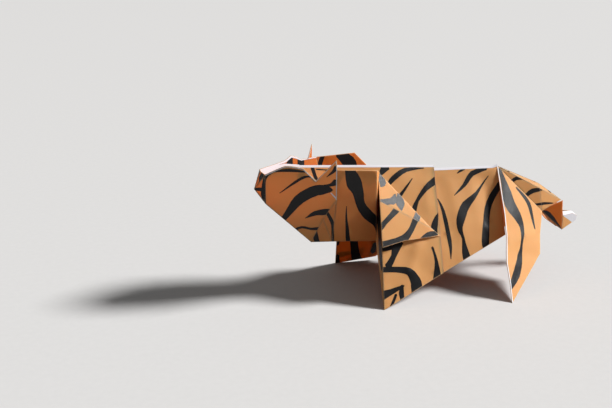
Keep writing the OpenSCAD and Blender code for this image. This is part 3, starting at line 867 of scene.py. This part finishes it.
def sides_and_middle(context):
    """All panels cut into triangles: (cut panel, whether it is mirrored to the far side)."""
    body, paper = context.scene.tiger_body, context.scene.tiger_paper
    corners = Corners(body)
    ragged = paper.ragged / MM
    near = [(Paper(panel, paper), False) for panel in side_panels(corners, ragged)]
    far = [(Paper(panel, paper), True) for panel in side_panels(corners, ragged, far=True)]
    middle = [(Paper(facet(list(row), bow=0), paper), False) for row in middle_panels(corners)]
    return near + far + middle


def mirrored(sheets, first_point, first_face):
    """Turns what was added last over to the far side."""
    for p in sheets.points[first_point:]:
        p.y = -p.y
    for i in range(first_face, len(sheets.faces)):
        sheets.faces[i] = tuple(reversed(sheets.faces[i]))


def ridge_cap(sheets, start, end, f, half, width, tip=0.0):
    """The white fold line along the back: a thin cap that straddles the ridge from start to end."""
    rings = []
    for k in range(CAP_STEPS + 1):
        u = k / CAP_STEPS
        rise = tip * max(0.0, (u - (1 - CAP_TIP_SHARE)) / CAP_TIP_SHARE)
        wander = CAP_WANDER * noise.noise(Vector((k * CAP_WANDER_STEP, 3.1, 0)))
        p = start.lerp(end, u) + Vector((0, 0, rise + wander))
        near = [p - f.y * width + f.n * (half + CAP_LIFT), p + f.n * (half + CAP_LIFT)]
        section = near + [p + Z_UP * (half + CAP_TOP)] + [Vector((q.x, -q.y, q.z)) for q in reversed(near)]
        section.append(p - Z_UP * CAP_ROOT)
        rings.append([sheets.add(q, Vector((p.x, i * 0.3))) for i, q in enumerate(section)])
    for a, b in zip(rings, rings[1:]):
        for i in range(len(a)):
            j = (i + 1) % len(a)
            sheets.faces.append((a[i], a[j], b[j], b[i]))
    sheets.faces.append(tuple(rings[0][::-1]))
    sheets.faces.append(tuple(rings[-1]))


def gather(context, build):
    """One piece's points and faces, from what build adds for each cut panel."""
    sheets = Sheets()
    for cut, far in sides_and_middle(context):
        first = len(sheets.points), len(sheets.faces)
        build(sheets, cut)
        if far:
            mirrored(sheets, *first)
    return sheets


# Materials

def group_sockets(group, ins, outs):
    for name, kind, value in ins:
        socket = group.interface.new_socket(name, in_out="INPUT", socket_type=kind)
        if value is not None:
            socket.default_value = value
    for name, kind in outs:
        group.interface.new_socket(name, in_out="OUTPUT", socket_type=kind)
    return group.nodes.new("NodeGroupInput"), group.nodes.new("NodeGroupOutput")


def math_node(tree, operation, *values):
    node = tree.nodes.new("ShaderNodeMath")
    node.operation = operation
    for socket, value in zip(node.inputs, values):
        if isinstance(value, (int, float)):
            socket.default_value = value
        else:
            tree.links.new(value, socket)
    return node.outputs[0]


def noise_node(tree, vector, scale, detail, roughness=0.5):
    node = tree.nodes.new("ShaderNodeTexNoise")
    node.inputs["Scale"].default_value = scale
    node.inputs["Detail"].default_value = detail
    node.inputs["Roughness"].default_value = roughness
    tree.links.new(vector, node.inputs["Vector"])
    return node.outputs["Fac"]


def paper_grain():
    """Fibres, long soft streaks and a slow mottle on the sheet's own coordinates."""
    fibre_scale, streak_scale, cloud_scale = 420, 9, 22
    group = bpy.data.node_groups.new("paper grain", "ShaderNodeTree")
    ins, outs = group_sockets(
        group,
        [("Sheet", "NodeSocketVector", None)],
        [("Fibre", "NodeSocketFloat"), ("Streak", "NodeSocketFloat"), ("Height", "NodeSocketFloat")],
    )
    stretch = group.nodes.new("ShaderNodeMapping")
    stretch.inputs["Scale"].default_value = (9, 1, 1)
    group.links.new(ins.outputs["Sheet"], stretch.inputs["Vector"])
    fibre = noise_node(group, ins.outputs["Sheet"], fibre_scale, 4, 0.65)
    streak = noise_node(group, stretch.outputs["Vector"], streak_scale, 3, 0.6)
    cloud = noise_node(group, ins.outputs["Sheet"], cloud_scale, 3)
    half_streak = math_node(group, "MULTIPLY", streak, 0.5)
    fine, coarse = math_node(group, "MULTIPLY", fibre, 0.4), math_node(group, "MULTIPLY", cloud, 0.6)
    group.links.new(fibre, outs.inputs["Fibre"])
    group.links.new(math_node(group, "MULTIPLY_ADD", cloud, 0.5, half_streak), outs.inputs["Streak"])
    group.links.new(math_node(group, "ADD", fine, coarse), outs.inputs["Height"])
    return group


def worn_and_lit_fold():
    """Where a fold turns lighter, as scuffed print and in part a painted highlight: more near the edge and
    where the fibres are high.
    """
    fibre_pull, start, sharpness = 1.2, -1.15, 1.6
    group = bpy.data.node_groups.new("worn fold", "ShaderNodeTree")
    ins, outs = group_sockets(
        group,
        [
            ("Wear and highlight", "NodeSocketFloat", 0.0),
            ("Grain", "NodeSocketFloat", 0.5),
            ("Amount", "NodeSocketFloat", 1.0),
        ],
        [("Mask", "NodeSocketFloat")],
    )
    fibres = math_node(group, "MULTIPLY_ADD", ins.outputs["Grain"], fibre_pull, start)
    worn_and_lit = math_node(group, "ADD", ins.outputs["Wear and highlight"], fibres)
    mask = math_node(group, "MULTIPLY", math_node(group, "MULTIPLY", worn_and_lit, sharpness), ins.outputs["Amount"])
    clamp = group.nodes.new("ShaderNodeClamp")
    group.links.new(mask, clamp.inputs["Value"])
    group.links.new(clamp.outputs["Result"], outs.inputs["Mask"])
    return group


def mix_colour(tree, factor, a, b):
    """A blend from a to b, each a colour or a socket, by a number or a socket."""
    node = tree.nodes.new("ShaderNodeMix")
    node.data_type = "RGBA"
    colour_inputs = [socket for socket in node.inputs if socket.type == "RGBA"]
    for socket, value in zip(colour_inputs, (a, b)):
        if isinstance(value, (tuple, list)):
            socket.default_value = value
        else:
            tree.links.new(value, socket)
    if isinstance(factor, (int, float)):
        node.inputs["Factor"].default_value = factor
    else:
        tree.links.new(factor, node.inputs["Factor"])
    return next(socket for socket in node.outputs if socket.type == "RGBA")


def shade(colour, k):
    """The colour made lighter or darker by a factor, as a shader socket takes it."""
    return (min(1, colour[0] * k), min(1, colour[1] * k), min(1, colour[2] * k), 1)


def paper_material(
    name, colour, worn_and_highlight_colour, contrast, wear, roughness, bump,
    relief_mm=0.05, sheen=0.2, through=0.0, painted_shade_orange=None
):
    """Matt paper or print.

    contrast is the swing of its mottle. Its folds and edges turn to the given lighter colour by the given
    amount: scuffed print, and in part a painted highlight.
    through is the share of light that passes into it. Where a second orange is given, points blend to it by
    their share of painted shade. That orange is darker and redder, and it stands in for shade and for light
    coming through the paper.
    """
    grain_group, wear_group = paper_groups()
    material = bpy.data.materials.new(name)
    material.use_nodes = True
    tree = material.node_tree
    principled = tree.nodes["Principled BSDF"]
    sheet = tree.nodes.new("ShaderNodeUVMap")
    sheet.uv_map = "sheet"
    grain = tree.nodes.new("ShaderNodeGroup")
    grain.node_tree = grain_group
    tree.links.new(sheet.outputs["UV"], grain.inputs["Sheet"])
    attribute = tree.nodes.new("ShaderNodeAttribute")
    attribute.attribute_name = "fold_wear"
    worn_and_lit = tree.nodes.new("ShaderNodeGroup")
    worn_and_lit.node_tree = wear_group
    worn_and_lit.inputs["Amount"].default_value = wear
    tree.links.new(attribute.outputs["Fac"], worn_and_lit.inputs["Wear and highlight"])
    tree.links.new(grain.outputs["Fibre"], worn_and_lit.inputs["Grain"])
    dark, light = shade(colour, 1 - contrast), shade(colour, 1 + contrast)
    streaked = mix_colour(tree, grain.outputs["Streak"], dark, light)
    fibred = mix_colour(tree, grain.outputs["Fibre"], dark, light)
    colours = mix_colour(tree, 0.5, streaked, fibred)
    # Painted shade: points blend to a darker, redder orange by their share. It stands in for shade and for
    # light that comes through the thin paper
    if painted_shade_orange:
        inner = tree.nodes.new("ShaderNodeAttribute")
        inner.attribute_name = "painted_shade_share"
        painted_shade_dark, painted_shade_light = shade(painted_shade_orange, 1 - contrast), shade(painted_shade_orange, 1 + contrast)
        mottle = mix_colour(tree, grain.outputs["Fibre"], painted_shade_dark, painted_shade_light)
        colours = mix_colour(tree, inner.outputs["Fac"], colours, mottle)
    # Folds and edges turn lighter: scuffed print, and in part a painted highlight
    scuffed_and_lit = mix_colour(tree, worn_and_lit.outputs["Mask"], colours, shade(worn_and_highlight_colour, 1))
    tree.links.new(scuffed_and_lit, principled.inputs["Base Color"])
    principled.inputs["Roughness"].default_value = roughness
    principled.inputs["Specular IOR Level"].default_value = sheen
    principled.inputs["Subsurface Weight"].default_value = through
    principled.inputs["Subsurface Radius"].default_value = (1.0, 0.85, 0.7)
    principled.inputs["Subsurface Scale"].default_value = 0.7 * MM
    relief = tree.nodes.new("ShaderNodeBump")
    relief.inputs["Strength"].default_value = bump
    relief.inputs["Distance"].default_value = relief_mm * MM
    tree.links.new(grain.outputs["Height"], relief.inputs["Height"])
    tree.links.new(relief.outputs["Normal"], principled.inputs["Normal"])
    return material


def paper_groups():
    """The two effects that the papers share, each built once."""
    made = bpy.data.node_groups
    return made.get("paper grain") or paper_grain(), made.get("worn fold") or worn_and_lit_fold()


def finish_piece(piece, node):
    """The piece rides on the one body and stands for its node."""
    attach(piece, "root")
    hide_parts(node)


class TIGER_OT_paper(bpy.types.Operator):
    """Folds the sheet of printed paper"""

    bl_idname = "tiger.paper"
    bl_label = "Folded paper"

    def execute(self, context):
        paper = context.scene.tiger_paper
        half = paper.sheet_t / MM / 2
        sheets = gather(context, lambda made, cut: cut.slab(made, half))
        # Its folds turn lighter, as scuffed print and in part a painted highlight. Its inner faces and the
        # head's single layers take painted shade
        material = paper_material(
            "orange paper", paper.orange, (0.92, 0.72, 0.50), contrast=0.08, wear=0.25, roughness=0.62,
            bump=0.8, relief_mm=0.08, through=0.7, painted_shade_orange=paper.painted_shade_orange,
        )
        finish_piece(sheets.object("folded_paper", material), "folded_sheet")
        return {"FINISHED"}


class TIGER_OT_stripes(bpy.types.Operator):
    """Prints the stripes on the outer and inner faces"""

    bl_idname = "tiger.stripes"
    bl_label = "Stripes"

    def execute(self, context):
        paper = context.scene.tiger_paper
        half, proud = paper.sheet_t / MM / 2, paper.print_t / MM

        def build(made, cut):
            for side in (1, -1):
                cut.print(made, ("black", side), half, proud, ("white", side))

        sheets = gather(context, build)
        # Along its folds the black turns brown: scuffed print, and in part a painted highlight
        material = paper_material(
            "black print", paper.black, (0.35, 0.24, 0.16), contrast=0.2, wear=0.5, roughness=0.34,
            bump=1.0, relief_mm=0.15, sheen=0.17,
        )
        finish_piece(sheets.object("black_stripes", material), "stripe_print")
        return {"FINISHED"}


class TIGER_OT_white(bpy.types.Operator):
    """Turns over the white side at the ridge, the muzzle's rim, the ears, the hind legs and the tail's tip"""

    bl_idname = "tiger.white"
    bl_label = "White reverse"

    def execute(self, context):
        paper = context.scene.tiger_paper
        half, proud = paper.sheet_t / MM / 2, paper.print_t / MM

        def build(made, cut):
            for side in (1, -1):
                cut.print(made, ("white", side), half, proud)

        sheets = gather(context, build)
        c = Corners(context.scene.tiger_body)
        ridge_cap(sheets, c.neck_end, c.crest, c.front, half, width=0.5)
        ridge_cap(sheets, c.saddle, c.hip, c.rear, half, width=0.55, tip=0.4)
        # Along its folds the white turns whiter: in part scuffed paper, in part a painted highlight
        material = paper_material(
            "white reverse", paper.white, (0.95, 0.93, 0.95), contrast=0.03, wear=0.5, roughness=0.7,
            bump=0.5,
        )
        finish_piece(sheets.object("white_lines", material), "white_reverse")
        return {"FINISHED"}


class TIGER_OT_stage(bpy.types.Operator):
    """Sets the floor, the light and the camera"""

    bl_idname = "tiger.stage"
    bl_label = "Stage"

    def execute(self, context):
        stage = context.scene.tiger_stage
        make_floor(stage)
        make_lights(context, stage)
        make_camera(context, stage)
        return {"FINISHED"}


def make_floor(stage):
    """A pale floor, which lights the figure from below less than its colour would."""
    mesh = bpy.data.meshes.new("floor")
    mesh.from_pydata([(x * FLOOR_HALF, y * FLOOR_HALF, 0) for x, y in SQUARE], [], [(0, 1, 2, 3)])
    material = bpy.data.materials.new("floor")
    material.use_nodes = True
    tree = material.node_tree
    principled = tree.nodes["Principled BSDF"]
    principled.inputs["Roughness"].default_value = 0.9
    place = tree.nodes.new("ShaderNodeTexCoord")
    grain = noise_node(tree, place.outputs["Object"], 600, 3)
    pale = mix_colour(tree, grain, shade(stage.floor, 0.97), shade(stage.floor, 1.03))
    path = tree.nodes.new("ShaderNodeLightPath")
    seen = math_node(tree, "ADD", path.outputs["Is Camera Ray"], path.outputs["Is Glossy Ray"])
    seen = math_node(tree, "ADD", seen, path.outputs["Is Transmission Ray"])
    colours = mix_colour(tree, seen, shade(stage.floor, FLOOR_RETURN), pale)
    tree.links.new(colours, principled.inputs["Base Color"])
    mesh.materials.append(material)
    floor = bpy.data.objects.new("floor", mesh)
    bpy.context.scene.collection.objects.link(floor)


def make_lights(context, stage):
    """A wide sun from above the tail as the key light, and an even light from all round."""
    way = KEY_WAY.normalized()
    lamp = bpy.data.lights.new("key", "SUN")
    lamp.energy = stage.key
    lamp.angle = math.radians(KEY_SPREAD)
    key = bpy.data.objects.new("key", lamp)
    key.location = way * 0.5
    key.rotation_euler = way.to_track_quat("Z", "Y").to_euler()
    context.scene.collection.objects.link(key)
    world = context.scene.world or bpy.data.worlds.new("studio")
    context.scene.world = world
    world.use_nodes = True
    background = world.node_tree.nodes["Background"]
    background.inputs["Color"].default_value = (1, 1, 1, 1)
    background.inputs["Strength"].default_value = stage.fill
    context.scene.view_settings.view_transform = "Standard"


def make_camera(context, stage):
    """Sets the camera where the photograph was taken from."""
    lens = bpy.data.cameras.new("camera")
    lens.sensor_width = 36
    lens.angle = stage.view_angle
    camera = bpy.data.objects.new("camera", lens)
    camera.location = (CAMERA_PLACE - point(middle_x(context.scene.tiger_body), 0, 0)) * MM
    camera.rotation_euler = (math.radians(90) - stage.elevation, 0, stage.azimuth)
    context.scene.collection.objects.link(camera)
    context.scene.camera = camera


class TIGER_PT_panel(bpy.types.Panel):
    """The steps that build the tiger"""

    bl_label = "Origami Tiger"
    bl_idname = "TIGER_PT_panel"
    bl_space_type = "VIEW_3D"
    bl_region_type = "UI"
    bl_category = "Tiger"

    def draw(self, context):
        for step in STEPS:
            self.layout.operator(step.bl_idname)
        for settings in (context.scene.tiger_body, context.scene.tiger_paper, context.scene.tiger_stage):
            for name in settings.__annotations__:
                self.layout.prop(settings, name)


STEPS = (TIGER_OT_paper, TIGER_OT_stripes, TIGER_OT_white, TIGER_OT_stage)
SETTINGS = {"tiger_body": TigerBody, "tiger_paper": TigerPaper, "tiger_stage": TigerStage}


def register():
    for item in (*SETTINGS.values(), *STEPS, TIGER_PT_panel):
        bpy.utils.register_class(item)
    for name, group in SETTINGS.items():
        setattr(bpy.types.Scene, name, bpy.props.PointerProperty(type=group))


def unregister():
    for name in SETTINGS:
        delattr(bpy.types.Scene, name)
    for item in reversed((*SETTINGS.values(), *STEPS, TIGER_PT_panel)):
        bpy.utils.unregister_class(item)


def main():
    register()
    bpy.ops.tiger.paper()
    bpy.ops.tiger.stripes()
    bpy.ops.tiger.white()
    bpy.ops.tiger.stage()


if __name__ == "__main__":
    main()
